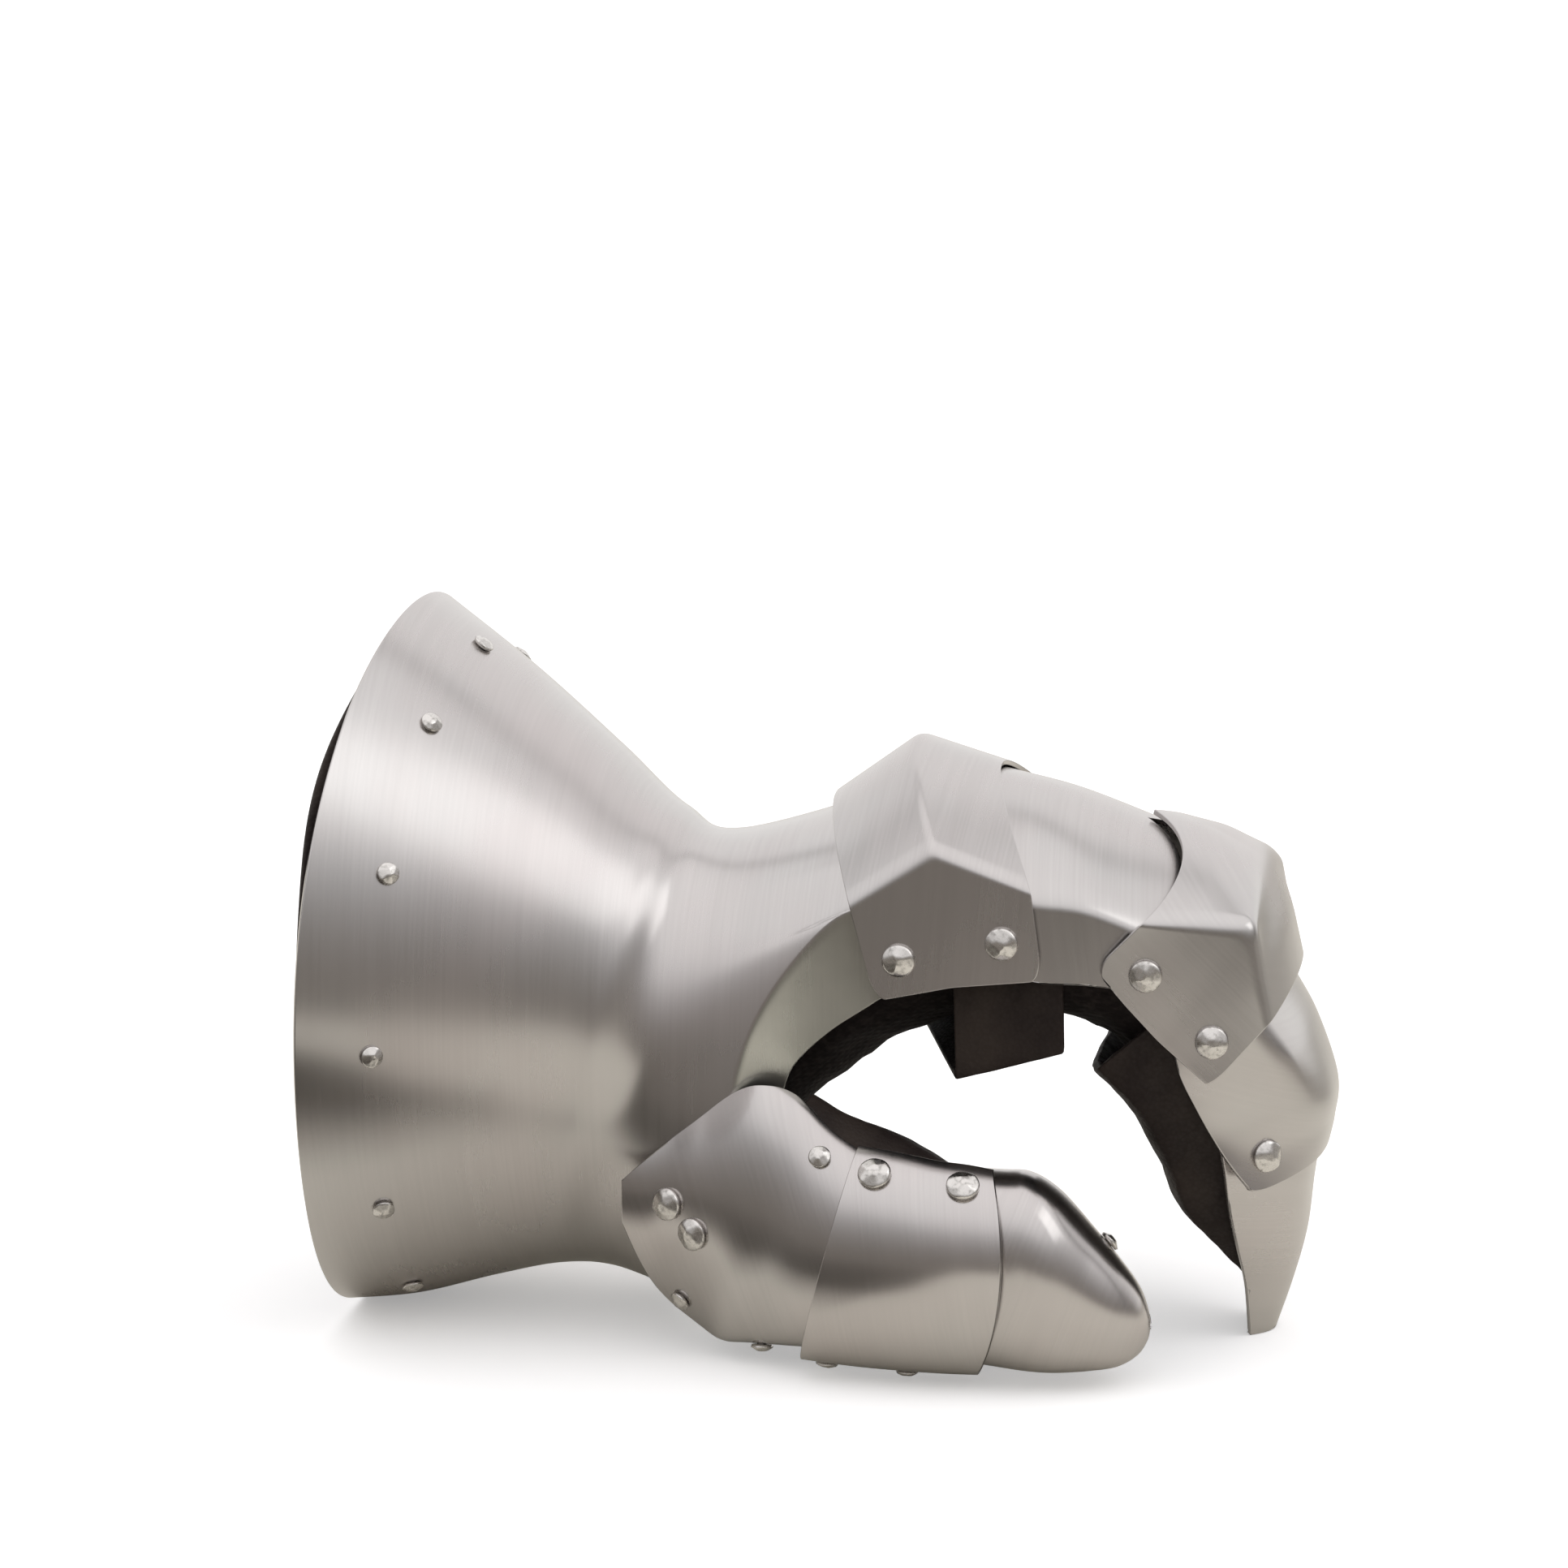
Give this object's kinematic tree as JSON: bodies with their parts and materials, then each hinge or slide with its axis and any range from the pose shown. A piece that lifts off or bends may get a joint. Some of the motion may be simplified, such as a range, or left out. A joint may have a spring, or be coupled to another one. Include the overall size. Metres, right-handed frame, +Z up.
{
  "type": "armoured gauntlet",
  "caption": "Hourglass mitten gauntlet: one-piece flared steel cuff and hand plate, articulated plates over curled fingers and thumb, riveted over a dark leather and cloth glove.",
  "frame": {"origin": "on the floor, under the middle of the object's bounding box", "axes": "+X from the cuff to the fingers, -Y to the thumb side, +Z up out of the back of the hand"},
  "size_m": [0.2437, 0.1748, 0.1776],
  "materials": {
    "brushed_steel": "satin brushed, with soft creases and light handling marks",
    "rivet_steel": "bright hammered domes",
    "dark_leather": "matt dark brown, cut edges",
    "black_cloth": "matt black woven cloth"
  },
  "bodies": {
    "root": {"gauntlet_body": "brushed_steel", "knuckle_plate": "brushed_steel", "finger_plate": "brushed_steel", "second_knuckle_plate": "brushed_steel", "finger_end_plate": "brushed_steel", "thumb_base_plate": "brushed_steel", "thumb_knuckle_plate": "brushed_steel", "thumb_tip_plate": "brushed_steel", "thumb_leather": "dark_leather", "cuff_lining": "dark_leather", "finger_leather": "dark_leather", "palm_strap": "dark_leather", "hand_glove": "black_cloth", "thumb_glove": "black_cloth", "thumb_glove_tip": "black_cloth", "fingertip_plate": "brushed_steel", "rivet_cuff_1": "rivet_steel", "rivet_cuff_2": "rivet_steel", "rivet_cuff_3": "rivet_steel", "rivet_cuff_4": "rivet_steel", "rivet_cuff_5": "rivet_steel", "rivet_cuff_6": "rivet_steel", "rivet_cuff_7": "rivet_steel", "rivet_cuff_8": "rivet_steel", "rivet_cuff_9": "rivet_steel", "rivet_cuff_10": "rivet_steel", "rivet_cuff_11": "rivet_steel", "rivet_cuff_12": "rivet_steel", "rivet_knuckle_rear_1": "rivet_steel", "rivet_knuckle_rear_2": "rivet_steel", "rivet_knuckle_front_1": "rivet_steel", "rivet_knuckle_front_2": "rivet_steel", "rivet_second_rear_1": "rivet_steel", "rivet_second_rear_2": "rivet_steel", "rivet_second_front_1": "rivet_steel", "rivet_second_front_2": "rivet_steel", "rivet_finger_end_1": "rivet_steel", "rivet_finger_end_2": "rivet_steel", "rivet_thumb_base_1": "rivet_steel", "rivet_thumb_base_2": "rivet_steel", "rivet_thumb_base_3": "rivet_steel", "rivet_thumb_base_4": "rivet_steel", "rivet_thumb_base_5": "rivet_steel", "rivet_thumb_middle_1": "rivet_steel", "rivet_thumb_middle_2": "rivet_steel", "rivet_thumb_middle_3": "rivet_steel", "rivet_thumb_middle_4": "rivet_steel", "rivet_thumb_tip_1": "rivet_steel"}
  },
  "joints": []
}
